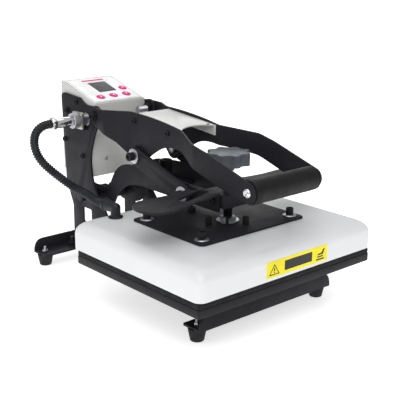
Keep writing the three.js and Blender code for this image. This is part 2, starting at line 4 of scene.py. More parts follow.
import bmesh
import bpy
from mathutils import Matrix, Vector

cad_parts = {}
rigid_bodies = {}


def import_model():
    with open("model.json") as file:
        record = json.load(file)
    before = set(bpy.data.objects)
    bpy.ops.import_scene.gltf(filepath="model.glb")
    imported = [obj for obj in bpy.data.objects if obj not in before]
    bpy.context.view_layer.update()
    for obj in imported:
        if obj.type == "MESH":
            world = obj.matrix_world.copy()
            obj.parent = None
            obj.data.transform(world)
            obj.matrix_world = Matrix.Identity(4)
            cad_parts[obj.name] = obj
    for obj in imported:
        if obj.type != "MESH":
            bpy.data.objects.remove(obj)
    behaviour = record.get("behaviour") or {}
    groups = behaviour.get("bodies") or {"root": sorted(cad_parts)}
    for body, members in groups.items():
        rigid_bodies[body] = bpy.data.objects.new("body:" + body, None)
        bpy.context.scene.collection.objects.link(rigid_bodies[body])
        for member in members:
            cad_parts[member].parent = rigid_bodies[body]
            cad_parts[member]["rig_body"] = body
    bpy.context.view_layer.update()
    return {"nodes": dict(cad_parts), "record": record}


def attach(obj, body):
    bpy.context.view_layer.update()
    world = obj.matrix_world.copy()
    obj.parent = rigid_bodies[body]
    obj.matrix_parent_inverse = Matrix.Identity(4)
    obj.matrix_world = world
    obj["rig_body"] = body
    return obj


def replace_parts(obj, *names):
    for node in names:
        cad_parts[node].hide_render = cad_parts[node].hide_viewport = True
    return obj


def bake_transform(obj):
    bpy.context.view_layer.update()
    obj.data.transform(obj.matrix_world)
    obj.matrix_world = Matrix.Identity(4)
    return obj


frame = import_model()
NODES = frame["nodes"]

SLOTS = {s["node"]: s["material_slot"] for s in frame["record"]["subparts"]}

# The working frame of the CAD part: x from the middle plane, y back from the cover's front edge and z up
# from the pressing face, in millimetres.
MIDDLE_Y = 235
FLOOR_Z = -80

# Where pieces sit in that frame: axes that run across the press, as (y, z), and single faces.
GRIP = (25, 116)
LINK_TOP = (287, 113)
LINK_LOW = (177, 78)
HANDLE_PIVOT = (368, 163)
ARM_PIVOT = (412, 26)
PLUG = (391, 155)
SPINDLE_Y = 127
PLATE_TOP = 42.8
FOOT_BAR_TOP = -59
UPRIGHT_FACE = 53.05


def place(x, y, z):
    return Vector((x / 1000, (y - MIDDLE_Y) / 1000, (z - FLOOR_Z) / 1000))


# ---------------------------------------------------------------- camera

CAMERA_AT = (-0.7978, -0.9544, 0.4927)
CAMERA_TURN = (-41.383, 16.307, 0.331)
CAMERA_LENS = 78.08


def make_camera():
    """The photograph's viewpoint, in metres, with azimuth, elevation and roll in degrees."""
    azimuth, elevation, roll = (math.radians(a) for a in CAMERA_TURN)
    level = math.cos(elevation)
    back = Vector((math.sin(azimuth) * level, -math.cos(azimuth) * level, math.sin(elevation)))
    right = (-back).cross(Vector((0, 0, 1))).normalized()
    up = right.cross(-back)
    rolled_right = right * math.cos(roll) + up * math.sin(roll)
    rolled_up = up * math.cos(roll) - right * math.sin(roll)
    data = bpy.data.cameras.new("camera")
    data.sensor_width = 36
    data.lens = CAMERA_LENS
    data.clip_start, data.clip_end = 0.05, 50
    cam = bpy.data.objects.new("camera", data)
    rows = zip(rolled_right, rolled_up, back, CAMERA_AT)
    cam.matrix_world = Matrix((*rows, (0, 0, 0, 1)))
    bpy.context.scene.collection.objects.link(cam)
    bpy.context.scene.camera = cam


make_camera()


# ---------------------------------------------------------------- materials

class Nodes:
    """A short way to write a node material. Coordinates are the object's own, in metres."""

    def __init__(self, name):
        self.material = bpy.data.materials.new(name)
        self.material.use_nodes = True
        self.tree = self.material.node_tree
        self.shader = self.tree.nodes["Principled BSDF"]
        self.coords = self.add("ShaderNodeTexCoord").outputs["Object"]

    def add(self, kind, **settings):
        node = self.tree.nodes.new(kind)
        for key, value in settings.items():
            setattr(node, key, value)
        return node

    def link(self, a, b):
        self.tree.links.new(a, b)

    def set(self, **sockets):
        for key, value in sockets.items():
            socket = self.shader.inputs[key.replace("_", " ")]
            socket.default_value = (*value, 1) if isinstance(value, tuple) else value

    def scaled(self, size):
        mapping = self.add("ShaderNodeMapping")
        mapping.inputs["Scale"].default_value = size
        self.link(self.coords, mapping.inputs["Vector"])
        return mapping.outputs["Vector"]

    def noise(self, scale, detail=3.0, rough=0.5, vector=None):
        node = self.add("ShaderNodeTexNoise")
        node.inputs["Scale"].default_value = scale
        node.inputs["Detail"].default_value = detail
        node.inputs["Roughness"].default_value = rough
        self.link(vector or self.coords, node.inputs["Vector"])
        return node.outputs["Fac"]

    def cells(self, scale):
        node = self.add("ShaderNodeTexVoronoi")
        node.inputs["Scale"].default_value = scale
        self.link(self.coords, node.inputs["Vector"])
        return node.outputs["Distance"]

    def ramp(self, value, stops):
        node = self.add("ShaderNodeValToRGB")
        ramp = node.color_ramp
        while len(ramp.elements) < len(stops):
            ramp.elements.new(0.5)
        for element, (at, colour) in zip(ramp.elements, stops):
            element.position = at
            element.color = (*colour, 1) if isinstance(colour, tuple) else (colour, colour, colour, 1)
        self.link(value, node.inputs["Fac"])
        return node.outputs["Color"]

    def mix(self, fac, a, b):
        node = self.add("ShaderNodeMix", data_type="RGBA")
        for at, value in ((0, fac), (6, a), (7, b)):
            socket = node.inputs[at]
            if hasattr(value, "links"):
                self.link(value, socket)
            elif at and not isinstance(value, tuple):
                socket.default_value = (value, value, value, 1)
            else:
                socket.default_value = (*value, 1) if at else value
        return node.outputs[2]

    def bump(self, *layers):
        """Each layer is (height, strength, distance in metres)."""
        before = None
        for height, strength, distance in layers:
            node = self.add("ShaderNodeBump")
            node.inputs["Strength"].default_value = strength
            node.inputs["Distance"].default_value = distance
            self.link(height, node.inputs["Height"])
            if before:
                self.link(before, node.inputs["Normal"])
            before = node.outputs["Normal"]
        self.link(before, self.shader.inputs["Normal"])

    def colour(self, socket):
        self.link(socket, self.shader.inputs["Base Color"])

    def roughness(self, socket):
        self.link(socket, self.shader.inputs["Roughness"])

    def edges(self, low, high):
        """Nearly 1 on worn convex edges."""
        geometry = self.add("ShaderNodeNewGeometry")
        return self.ramp(geometry.outputs["Pointiness"], [(low, 0.0), (high, 1.0)])


def shade(colour, factor, lift=0.0):
    """A darker or lighter form of a colour, no lighter than white."""
    return tuple(min(c * factor + lift, 1) for c in colour)


def powder(name, colour, rough, wear=0.25, grain=1.0):
    """Baked powder coat: a fine pebbled skin, faint cloudiness, a little polish on the edges."""
    n = Nodes(name)
    cloud = n.noise(14, 4, 0.6)
    speck = n.noise(900, 2, 0.6)
    body = n.ramp(cloud, [(0.3, shade(colour, 0.84)), (0.7, shade(colour, 1.14, 0.002))])
    specks = n.mix(n.ramp(speck, [(0.45, 0.0), (0.75, 1.0)]), body, shade(colour, 1.3, 0.003))
    worn = tuple(min(c + (0.75 - c) * wear, 1) for c in colour)
    rub = n.mix(n.edges(0.53, 0.62), 0.0, n.ramp(n.noise(120, 3), [(0.4, 0.0), (0.7, 1.0)]))
    n.colour(n.mix(rub, specks, worn))
    n.roughness(n.ramp(n.noise(45, 5, 0.65), [(0.25, rough - 0.07), (0.75, rough + 0.1)]))
    n.bump((n.noise(1300, 2, 0.5), 0.22 * grain, 0.0002), (n.noise(320, 1), 0.1 * grain, 0.0004))
    n.set(Metallic=0.0, IOR=1.5, Specular_IOR_Level=0.14)
    return n.material


def white_paint(name, colour, rough, dirt):
    """Smooth sprayed paint with soft orange peel, faint handling marks and dirt in soft patches."""
    n = Nodes(name)
    tone = n.ramp(n.noise(9, 5, 0.6), [(0.3, shade(colour, 0.965)), (0.7, colour)])
    smudge = n.ramp(n.noise(38, 6, 0.7, n.scaled((1, 1, 2.5))), [(0.56, 0.0), (0.8, dirt)])
    n.colour(n.mix(smudge, tone, shade(colour, 0.72)))
    n.roughness(n.ramp(n.noise(26, 6, 0.7), [(0.3, rough - 0.06), (0.75, rough + 0.12)]))
    n.bump((n.noise(420, 2, 0.4), 0.08, 0.0003), (n.noise(1500, 1), 0.06, 0.0001))
    n.set(Coat_Weight=0.15, Coat_Roughness=0.25)
    return n.material


def plated(name, colour, rough, tint, streak=(1, 1, 1), scratches=0.15):
    """Plated steel: soft clouding in the plate, fine scratches and tool marks."""
    n = Nodes(name)
    cloud = n.noise(160, 4, 0.6)
    n.colour(n.ramp(cloud, [(0.3, tuple(c * t for c, t in zip(colour, tint))), (0.65, colour)]))
    lines = n.noise(500, 4, 0.7, n.scaled(streak))
    n.roughness(n.ramp(lines, [(0.3, max(rough - 0.08, 0.04)), (0.75, rough + 0.14)]))
    n.bump((lines, scratches, 0.00015), (n.noise(2200, 2), 0.05, 0.0001))
    n.set(Metallic=1.0)
    return n.material


def rubber(name, colour, rough, scale=1400, depth=0.2, dust=0.12):
    """Moulded rubber: matt, faintly grainy, with pale dust in patches."""
    n = Nodes(name)
    base = n.ramp(n.noise(60, 4, 0.6), [(0.3, shade(colour, 0.8)), (0.7, shade(colour, 1.25))])
    haze = n.ramp(n.noise(22, 6, 0.75), [(0.5, 0.0), (0.85, dust)])
    n.colour(n.mix(haze, base, (0.16, 0.16, 0.165)))
    n.roughness(n.ramp(n.noise(75, 4), [(0.3, rough - 0.08), (0.7, min(rough + 0.08, 1))]))
    n.bump((n.cells(scale), depth, 0.0002), (n.noise(240, 3), 0.12, 0.0004))
    n.set(Specular_IOR_Level=0.2)
    return n.material


def plastic(name, colour, rough, grain=0.16, scale=1800):
    """Moulded plastic with a spark-eroded skin."""
    n = Nodes(name)
    n.colour(n.ramp(n.noise(40, 4, 0.6), [(0.3, shade(colour, 0.88)), (0.7, shade(colour, 1.1))]))
    n.roughness(n.ramp(n.noise(120, 4), [(0.3, rough - 0.06), (0.7, rough + 0.08)]))
    n.bump((n.noise(scale, 2, 0.5), grain, 0.00015), (n.noise(130, 2), 0.06, 0.0005))
    n.set(Specular_IOR_Level=0.3)
    return n.material


MATERIALS = {
    "black_coat": powder("black_coat", (0.0135, 0.013, 0.017), 0.5, 0.015),
    "white_coat": white_paint("white_coat", (0.735, 0.745, 0.755), 0.36, 0.10),
    "grey_coat": white_paint("grey_coat", (0.60, 0.595, 0.58), 0.42, 0.10),
    "zinc": plated("zinc", (0.50, 0.51, 0.53), 0.36, (0.8, 0.82, 0.86)),
    "chrome": plated("chrome", (0.75, 0.75, 0.76), 0.14, (0.9, 0.9, 0.9), (1, 1, 6), 0.05),
    "aluminium": plated("aluminium", (0.6, 0.61, 0.62), 0.34, (0.85, 0.85, 0.87), (8, 1, 1)),
    "dark_steel": powder("dark_steel", (0.010, 0.010, 0.012), 0.4, 0.015, 0.5),
    "rubber": rubber("rubber", (0.018, 0.018, 0.021), 0.7),
    "foam_grip": rubber("foam_grip", (0.007, 0.007, 0.008), 0.5, 2600, 0.16, 0.012),
    "silicone": rubber("silicone", (0.006, 0.006, 0.007), 0.66, 700, 0.12, 0.02),
    "black_plastic": plastic("black_plastic", (0.0125, 0.014, 0.018), 0.36),
    "knob_plastic": plastic("knob_plastic", (0.088, 0.098, 0.115), 0.42, 0.2),
    "overlay": plastic("overlay", (0.80, 0.81, 0.815), 0.36, 0.07, 3200),
    "button": plastic("button", (0.70, 0.002, 0.20), 0.5, 0.1),
    "display": plastic("display", (0.062, 0.065, 0.066), 0.6, 0.03),
}
INK = plastic("ink", (0.02, 0.02, 0.022), 0.45, 0.05)
YELLOW = plastic("label_yellow", (0.86, 0.74, 0.010), 0.4, 0.05)
SEGMENT = plastic("display_segment", (0.115, 0.12, 0.12), 0.6, 0.03)
BRASS = plated("brass", (0.66, 0.48, 0.2), 0.28, (0.85, 0.8, 0.7))
PRINT = plastic("overlay_print", (0.86, 0.87, 0.87), 0.4, 0.05)


# ---------------------------------------------------------------- mesh tools

SHARP = 35
BEVEL_FROM = 28


def finish_mesh(obj, look, body, angle=SHARP):
    """Material, smooth shading up to an angle, and the CAD body that the piece rides on."""
    obj.data.materials.clear()
    if isinstance(look, str):
        obj.data.materials.append(MATERIALS[look])
    else:
        obj.data.materials.append(look)
    for p in obj.data.polygons:
        p.use_smooth = True
    obj.data.set_sharp_from_angle(angle=math.radians(angle))
    if body:
        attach(obj, body)
    return obj


def build(name, verts, faces, look, body, angle=SHARP, bevel=0.0):
    mesh = bpy.data.meshes.new(name)
    mesh.from_pydata([tuple(v) for v in verts], [], faces)
    bm = bmesh.new()
    bm.from_mesh(mesh)
    bmesh.ops.remove_doubles(bm, verts=bm.verts, dist=1e-6)
    bmesh.ops.recalc_face_normals(bm, faces=bm.faces)
    bm.to_mesh(mesh)
    bm.free()
    obj = bpy.data.objects.new(name, mesh)
    bpy.context.scene.collection.objects.link(obj)
    if bevel:
        round_edges(obj, bevel)
    return finish_mesh(obj, look, body, angle)


def round_edges(obj, width, segments=2):
    """Bevels every edge that turns by more than BEVEL_FROM degrees. The width is in millimetres."""
    bevel = obj.modifiers.new("round", "BEVEL")
    bevel.width, bevel.segments = width / 1000, segments
    bevel.limit_method, bevel.angle_limit = "ANGLE", math.radians(BEVEL_FROM)
    bevel.use_clamp_overlap = True
    graph = bpy.context.evaluated_depsgraph_get()
    made = bpy.data.meshes.new_from_object(obj.evaluated_get(graph))
    obj.modifiers.clear()
    obj.data = made


def refine(node, width, segments=2):
    """A welded copy of a CAD node with rounded edges and smooth shading, in the node's place."""
    source = NODES[node]
    mesh = source.data.copy()
    mesh.name = node + "_fine"
    bm = bmesh.new()
    bm.from_mesh(mesh)
    bmesh.ops.remove_doubles(bm, verts=bm.verts, dist=2e-6)
    bmesh.ops.dissolve_limit(bm, angle_limit=math.radians(0.8), verts=bm.verts, edges=bm.edges)
    bmesh.ops.recalc_face_normals(bm, faces=bm.faces)
    bm.to_mesh(mesh)
    bm.free()
    if "custom_normal" in mesh.attributes:
        mesh.attributes.remove(mesh.attributes["custom_normal"])
    obj = bpy.data.objects.new(node + "_fine", mesh)
    bpy.context.scene.collection.objects.link(obj)
    if width:
        round_edges(obj, width, segments)
    finish_mesh(obj, SLOTS[node], source["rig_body"], 40)
    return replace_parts(obj, node)


AXES = {
    "+x": Matrix(((0, 0, 1), (0, 1, 0), (-1, 0, 0))),
    "-x": Matrix(((0, 0, -1), (0, 1, 0), (1, 0, 0))),
    "+y": Matrix(((1, 0, 0), (0, 0, 1), (0, -1, 0))),
    "-y": Matrix(((1, 0, 0), (0, 0, -1), (0, 1, 0))),
    "+z": Matrix(((1, 0, 0), (0, 1, 0), (0, 0, 1))),
}


def radius_factor(kind, angle):
    """How far out a ring runs at an angle: round, or the outline of a socket, a nut or a knurl."""
    if kind == "hex":
        return math.cos(math.pi / 6) / math.cos((angle % (math.pi / 3)) - math.pi / 6)
    if kind == "cross":
        return 1.0 if abs(math.sin(2 * angle)) < 0.45 else 0.42
    if kind == "knurl":
        return 0.982 + 0.018 * math.cos(40 * angle)
    return 1.0


def skin(rings, sides):
    """Faces between rings of points that follow one another, with both ends closed."""
    faces = []
    for j in range(rings - 1):
        for i in range(sides):
            a, b = j * sides + i, j * sides + (i + 1) % sides
            faces.append((a, b, b + sides, a + sides))
    faces.append(tuple(reversed(range(sides))))
    last = (rings - 1) * sides
    faces.append(tuple(range(last, last + sides)))
    return faces


def lathe(name, profile, at, axis, look, body, sides=24, angle=SHARP):
    """A turned piece: (radius, height, outline) rings along an axis, in millimetres, with closed ends."""
    verts = []
    origin = place(*at)
    for ring in profile:
        r, h, kind = (*ring, None)[:3]
        for i in range(sides):
            a = 2 * math.pi * i / sides
            k = r * radius_factor(kind, a)
            verts.append(origin + AXES[axis] @ Vector((k * math.cos(a), k * math.sin(a), h)) / 1000)
    return build(name, verts, skin(len(profile), sides), look, body, angle)


def socket_head(name, at, axis, r, h, look, body, deep=0.45):
    """A cap screw with a hexagon socket, whose floor is at the share deep of its height."""
    floor = h * deep
    rings = [
        (r - 0.3, 0.0), (r, 0.3), (r, h - 0.7), (r - 0.25, h - 0.2), (r - 0.7, h), (r * 0.62, h),
        (r * 0.56, h - 0.15, "hex"), (r * 0.56, floor, "hex"), (r * 0.1, floor - 0.05),
    ]
    return lathe(name, rings, at, axis, look, body, 24)


def pan_head(name, at, axis, r, h, look, body):
    """A small domed screw with a cross recess."""
    rings = [
        (r, 0), (r, h * 0.35), (r * 0.9, h * 0.7), (r * 0.7, h * 0.92), (r * 0.62, h),
        (r * 0.5, h, "cross"), (r * 0.42, h * 0.5, "cross"), (r * 0.05, h * 0.4),
    ]
    return lathe(name, rings, at, axis, look, body, 32)


def hex_nut(name, at, axis, r, h, look, body, stud=0.0):
    """A chamfered nut, with the ringed end of a stud standing out of it if stud is its length."""
    rings = [(r * 0.86, 0), (r, h * 0.12, "hex"), (r, h * 0.85, "hex"), (r * 0.86, h)]
    if stud:
        s = r * 0.5
        rings += [(s + 0.3, h), (s, h + 0.1)]
        steps = max(int(stud / 0.5), 2)
        for i in range(1, steps):
            rings.append((s - (0.28 if i % 2 else 0.0), h + stud * i / steps))
        rings += [(s - 0.5, h + stud), (s * 0.2, h + stud)]
    return lathe(name, rings, at, axis, look, body, 24)


def tube(name, path, radii, look, body, sides, angle=50):
    """A round tube along points in metres. radii is one radius or one for each point."""
    verts = []
    up = Vector((0.0, 0.0, 1.0))
    previous = None
    for i, p in enumerate(path):
        ahead = path[min(i + 1, len(path) - 1)] - path[max(i - 1, 0)]
        ahead.normalize()
        if previous is None:
            side = ahead.cross(up if abs(ahead.z) < 0.9 else Vector((1, 0, 0))).normalized()
        else:
            side = (previous - ahead * previous.dot(ahead)).normalized()
        previous = side
        other = ahead.cross(side)
        r = radii if isinstance(radii, float) else radii[i]
        for k in range(sides):
            a = 2 * math.pi * k / sides
            verts.append(p + side * (r * math.cos(a)) + other * (r * math.sin(a)))
    return build(name, verts, skin(len(path), sides), look, body, angle)


def curve_point(p, t, at):
    """The point at a place on a centripetal curve through four points p, whose knots are t."""
    def between(start, end, low, high):
        return start * ((high - at) / (high - low)) + end * ((at - low) / (high - low))

    first = [between(p[i], p[i + 1], t[i], t[i + 1]) for i in range(3)]
    second = [between(first[i], first[i + 1], t[i], t[i + 2]) for i in range(2)]
    return between(*second, t[1], t[2])


def smooth_route(points, step):
    """Points about a step apart along a centripetal curve through the given points, and its length."""
    pts = [Vector(p) for p in points]
    pts = [pts[0] * 2 - pts[1], *pts, pts[-1] * 2 - pts[-2]]
    parts = 40
    fine = []
    for i in range(1, len(pts) - 2):
        four = pts[i - 1:i + 3]
        knots = [0.0]
        for p, q in zip(four, four[1:]):
            knots.append(knots[-1] + math.sqrt((q - p).length))
        for k in range(parts):
            fine.append(curve_point(four, knots, knots[1] + (knots[2] - knots[1]) * k / parts))
    fine.append(pts[-2])
    total = sum((b - a).length for a, b in zip(fine, fine[1:]))
    count = round(total / step)
    out, walked, want = [fine[0]], 0.0, total / count
    for a, b in zip(fine, fine[1:]):
        piece = (b - a).length
        while piece and walked + piece >= want * len(out) and len(out) < count:
            out.append(a.lerp(b, (want * len(out) - walked) / piece))
        walked += piece
    out.append(fine[-1])
    return out, total


# ---------------------------------------------------------------- conduit

ROUTE = [
    (-119.5, 391, 155), (-125, 391, 155), (-134, 390.5, 153.4), (-145, 388.5, 147.5), (-152.5, 384, 138),
    (-155.5, 378, 126), (-154, 373, 115), (-149.5, 366, 104), (-142, 359, 94), (-134, 350, 84.5),
    (-119.0, 336.2, 69.3), (-111.0, 314.3, 61.6), (-106.5, 292.9, 54.4), (-106, 279, 54.1), (-106, 273, 54),
]
ROUTE_STEP = 0.00065
STEPS_PER_RIB = 6
HOSE_CORE = 0.0053
RIB_HEIGHT = 0.0015


def rib(i):
    """The hose's radius at a step of its route, in metres."""
    wave = 0.5 + 0.5 * math.cos(math.pi * 2 * i / STEPS_PER_RIB)
    return HOSE_CORE + RIB_HEIGHT * wave ** 0.7


def make_conduit():
    """Corrugated hose: round ribs 3.9 mm apart along the route."""
    path, length = smooth_route([place(*p) for p in ROUTE], ROUTE_STEP)
    radii = [rib(i) for i in range(len(path))]
    hose = tube("conduit_hose", path, radii, "black_plastic", None, 20, 80)
    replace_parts(hose, "conduit")
    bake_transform(hose)


make_conduit()


# ---------------------------------------------------------------- CAD pieces with rounded edges

# FINE holds the width of each node's rounded edges in millimetres. The nodes in OWN get a piece of their
# own further down, and every other node gets the small edge.
FINE = {
    "left_side_frame": 0.6, "right_side_frame": 0.6, "front_foot_bar": 0.8, "rear_foot_bar": 0.8,
    "frame_tie_bar": 0.6, "left_arm": 0.5, "right_arm": 0.5, "spindle_block": 1.0, "arm_cross_bar": 0.6,
    "left_link": 0.6, "right_link": 0.6, "left_handle_bar": 0.5, "right_handle_bar": 0.5,
    "mounting_plate": 0.5,
    "control_box": 0.6, "rear_cover": 0.3, "handle_cover": 0.3, "lower_platen": 0.8,
    "panel_overlay": 0.25, "display_window": 0.15, "power_inlet": 0.5, "power_rocker": 0.5,
    "heating_plate": 0.8, "conduit_elbow": 0.4, "panel_socket": 0.4, "plug_sleeve": 0.5,
    "gland_nut": 0.5, "pressure_knob": 1.1, "handle_tube": 0.3, "arm_pivot_shaft": 0.6,
    "platen_cover": 0.0,
}
OWN = (
    "conduit", "silicone_pad", "handle_grip", "coupling_ring", "pressure_spindle", "spindle_flange",
    "stop_damper", "left_return_spring", "right_return_spring", "left_grip_bolt", "right_grip_bolt",
    "left_handle_pivot", "right_handle_pivot",
)
SOFT_EDGE = 0.9
SMALL_EDGE = 0.3

for node, width in FINE.items():
    refine(node, width, 3 if width > SOFT_EDGE else 2)
for node in NODES:
    if node not in FINE and node not in OWN:
        refine(node, SMALL_EDGE)

# ---------------------------------------------------------------- soft pieces

PAD_HALF = 162.0
PAD_FRONT = 3.0
PAD_BACK = 264.0
PAD_POINT_GAP = 4


def pad_outline():
    """Points round the pad's edge, about 4 mm apart."""
    corners = [(PAD_HALF, PAD_FRONT), (PAD_HALF, PAD_BACK), (-PAD_HALF, PAD_BACK), (-PAD_HALF, PAD_FRONT)]
    walk = []
    for (ax, ay), (bx, by) in zip(corners, corners[1:] + corners[:1]):
        steps = int(math.hypot(bx - ax, by - ay) / PAD_POINT_GAP)
        for i in range(steps):
            walk.append((ax + (bx - ax) * (i + 0.5) / steps, ay + (by - ay) * (i + 0.5) / steps))
    return walk


def make_pad():
    """A silicone sheet cut by knife: a soft bulge in the side and a faintly wandering edge."""
    walk = pad_outline()
    middle = (PAD_FRONT + PAD_BACK) / 2
    half_depth = (PAD_BACK - PAD_FRONT) / 2
    verts = []
    levels = [(-8.3, 0.5), (-8.0, 0.15), (-6.6, 0.0), (-4.3, -0.1), (-2.0, 0.05), (-0.8, 0.3), (-0.35, 0.9)]
    for z, inset in levels:
        for i, (x, y) in enumerate(walk):
            wander = 0.1 * math.sin(i * 0.37) + 0.07 * math.sin(i * 1.13 + z)
            k = inset + abs(wander)
            verts.append(place(x * (1 - k / PAD_HALF), middle + (y - middle) * (1 - k / half_depth), z))
    pad = build("pad_sheet", verts, skin(len(levels), len(walk)), "silicone", "frame", 40)
    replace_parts(pad, "silicone_pad")


GRIP_END = 59.5
GRIP_LENGTH = 119


def make_grip():
    """A foam sleeve: rolled ends, a groove near each end and a slightly uneven skin."""
    front = [
        (9.0, 0.0), (13.6, 0.1), (15.4, 0.6), (16.1, 1.6),
        (16.2, 3.6), (15.5, 4.4), (15.6, 5.2), (16.3, 6.0),
    ]
    middle = []
    for i in range(34):
        h = 8 + i * 103 / 33
        middle.append((16.36 + 0.08 * math.sin(i * 0.9) + 0.05 * math.sin(i * 2.3), h))
    back = [(r, GRIP_LENGTH - h) for r, h in reversed(front)]
    rings = front + middle + back
    grip = lathe("grip_sleeve", rings, (-GRIP_END, *GRIP), "+x", "foam_grip", "handle", 40, 50)
    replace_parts(grip, "handle_grip")


make_pad()
make_grip()


# ---------------------------------------------------------------- turned and threaded pieces

def ribbed(r, depth, h0, h1, pitch):
    """Rings that stand for a screw thread between two heights."""
    count = int((h1 - h0) / (pitch / 2))
    return [(r - (depth if i % 2 else 0.0), h0 + (h1 - h0) * i / count) for i in range(count + 1)]


def make_spindle():
    thread = [(6.0, 0.0)] + ribbed(6.75, 0.75, 0.6, 64.8, 1.75) + [(6.4, 65.6)]
    rod = lathe("spindle_thread", thread, (0, SPINDLE_Y, 50.1), "+z", "dark_steel", "knob", 24, 20)
    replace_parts(rod, "pressure_spindle")
    rings = [
        (16.2, 0.0), (16.5, 0.4), (16.4, 1.3), (15.9, 1.7), (12.2, 1.8),
        (12.0, 1.9, "hex"), (12.0, 6.0, "hex"), (10.4, 6.5),
    ]
    base = lathe("spindle_base_nut", rings, (0, SPINDLE_Y, 43.1), "+z", "zinc", "platen", 36)
    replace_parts(base, "spindle_flange")
    collar = [(8.6, 0), (9.2, 0.5), (9.2, 5.4), (8.6, 6)]
    lathe("spindle_lock_collar", collar, (0, SPINDLE_Y, 62.6), "+z", "dark_steel", "arm", 28)


def make_coupling():
    plug_y, plug_z = PLUG
    rings = [(11.0, 0.0), (11.9, 0.7, "knurl"), (11.9, 9.9, "knurl"), (11.0, 10.6)]
    ring = lathe("coupling_knurled_ring", rings, (-71.85, *PLUG), "-x", "zinc", "frame", 160)
    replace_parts(ring, "coupling_ring")
    screw_off = 9.6
    for y in (-screw_off, screw_off):
        for z in (-screw_off, screw_off):
            at = (-71.55, plug_y + y, plug_z + z)
            pan_head(f"socket_screw_{y}_{z}", at, "-x", 2.2, 1.5, BRASS, "frame")
    socket_head("upright_screw_low", (-UPRIGHT_FACE, 396, 140.4), "-x", 3.6, 6, "dark_steel", "frame")
    hex_nut("upright_nut_rear", (-UPRIGHT_FACE, 446, 161), "-x", 5.2, 4.5, "dark_steel", "frame", stud=3)


def make_damper():
    rings = [
        (4.6, 0), (5, 0.4), (5, 14.3), (9.4, 14.5), (10, 15.2), (10, 25.6), (9.2, 26.8), (9.2, 31), (10, 32),
        (10, 43.6), (9.6, 44.9), (8.5, 46), (5.6, 46), (5.0, 45.7, "hex"), (5.0, 40, "hex"), (0.5, 39.8),
    ]
    damper = lathe("damper_bolt", rings, (0, 264, 60), "+z", "dark_steel", "arm", 36)
    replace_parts(damper, "stop_damper")


def make_springs():
    """Coils of round wire around the arm shaft."""
    turns, wire, r = 6, 1.65, 11.2
    start, width = 5.6, 18.6
    steps = turns * 24
    shaft_y, shaft_z = ARM_PIVOT
    for name, side in (("left", -1), ("right", 1)):
        path = []
        for i in range(steps + 1):
            a = 2 * math.pi * i / 24
            x = start + width * i / steps
            path.append(place(side * x, shaft_y + r * math.cos(a), shaft_z + r * math.sin(a)))
        coil = tube(f"{name}_spring_coil", path, wire / 1000, "dark_steel", "frame", 10)
        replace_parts(coil, f"{name}_return_spring")


BLACK = "dark_steel"
DOME = [
    (6.5, 0), (6.3, 1.2), (5.2, 2.7), (3.6, 3.6), (3.2, 3.7),
    (2.8, 3.5, "hex"), (2.8, 1.6, "hex"), (0.3, 1.5),
]
PIVOT_CAP = [
    (8.4, 0), (8.7, 0.3), (8.7, 1.5), (8.4, 1.8), (5.6, 1.85), (5.6, 3.6),
    (4.9, 5.0), (3.6, 5.7), (3.0, 5.8), (2.6, 5.7, "hex"), (2.6, 3.4, "hex"), (0.4, 3.3),
]


def grip_and_link_bolts(end, s, out):
    bolt = lathe(f"{end}_end_bolt", DOME, (s * 63.3, *GRIP), out, "chrome", "handle", 28)
    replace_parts(bolt, f"{end}_grip_bolt")
    for where, axis, body in (("top", LINK_TOP, "handle"), ("low", LINK_LOW, "links")):
        socket_head(f"{end}_link_cap_{where}", (s * 44.05, *axis), out, 6.4, 9.4, BLACK, body, deep=0.8)


def pivot_bolt(end, s, out, into):
    lathe(f"{end}_pivot_cap", PIVOT_CAP, (s * 57.45, *HANDLE_PIVOT), out, BLACK, "frame", 28)
    hex_nut(f"{end}_pivot_nut", (s * 49.7, *HANDLE_PIVOT), into, 9.4, 6, BLACK, "frame")
    thread = ribbed(6.0, 0.5, 0, 29.6, 1.5)
    stub = lathe(f"{end}_pivot_thread", thread, (s * 57.4, *HANDLE_PIVOT), into, "zinc", "frame", 24, 20)
    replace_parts(stub, f"{end}_handle_pivot")


def moving_screws(end, s, out):
    """Screws in the side of the cover between the handle bars, and in the arm's block."""
    for where, y, z in (("rear", 292.6, 164.3), ("front", 215.6, 158)):
        socket_head(f"{end}_cover_screw_{where}", (s * 36.05, y, z), out, 4.0, 3.2, BLACK, "handle")
    socket_head(f"{end}_block_screw", (s * 31.55, 123.5, 78.5), out, 4.6, 4.2, BLACK, "arm")


def frame_screws(end, s, out):
    for i, (y, z) in enumerate(((419.7, 178.2), (455.3, 113), (406.5, 92.9))):
        socket_head(f"{end}_upright_screw_{i}", (s * UPRIGHT_FACE, y, z), out, 4.0, 3.6, BLACK, "frame")
    for y in (59, 430):
        hex_nut(f"{end}_foot_nut_{y}", (s * 115.5, y, FOOT_BAR_TOP), "+z", 4.8, 4, "zinc", "frame", stud=5)
    hex_nut(f"{end}_frame_bolt", (s * 63.5, 431, FOOT_BAR_TOP), "+z", 7.2, 6, BLACK, "frame", stud=8)


def plate_and_rear_screws(end, s):
    for y in (87, 204):
        socket_head(f"{end}_plate_cap_{y}", (s * 83.8, y, 44.9), "+z", 5.5, 9.8, BLACK, "platen", deep=0.82)
    for z in (67, 199):
        pan_head(f"{end}_rear_screw_{z}", (s * 43.5, 468.75, z), "+y", 3.0, 1.1, "zinc", "frame")


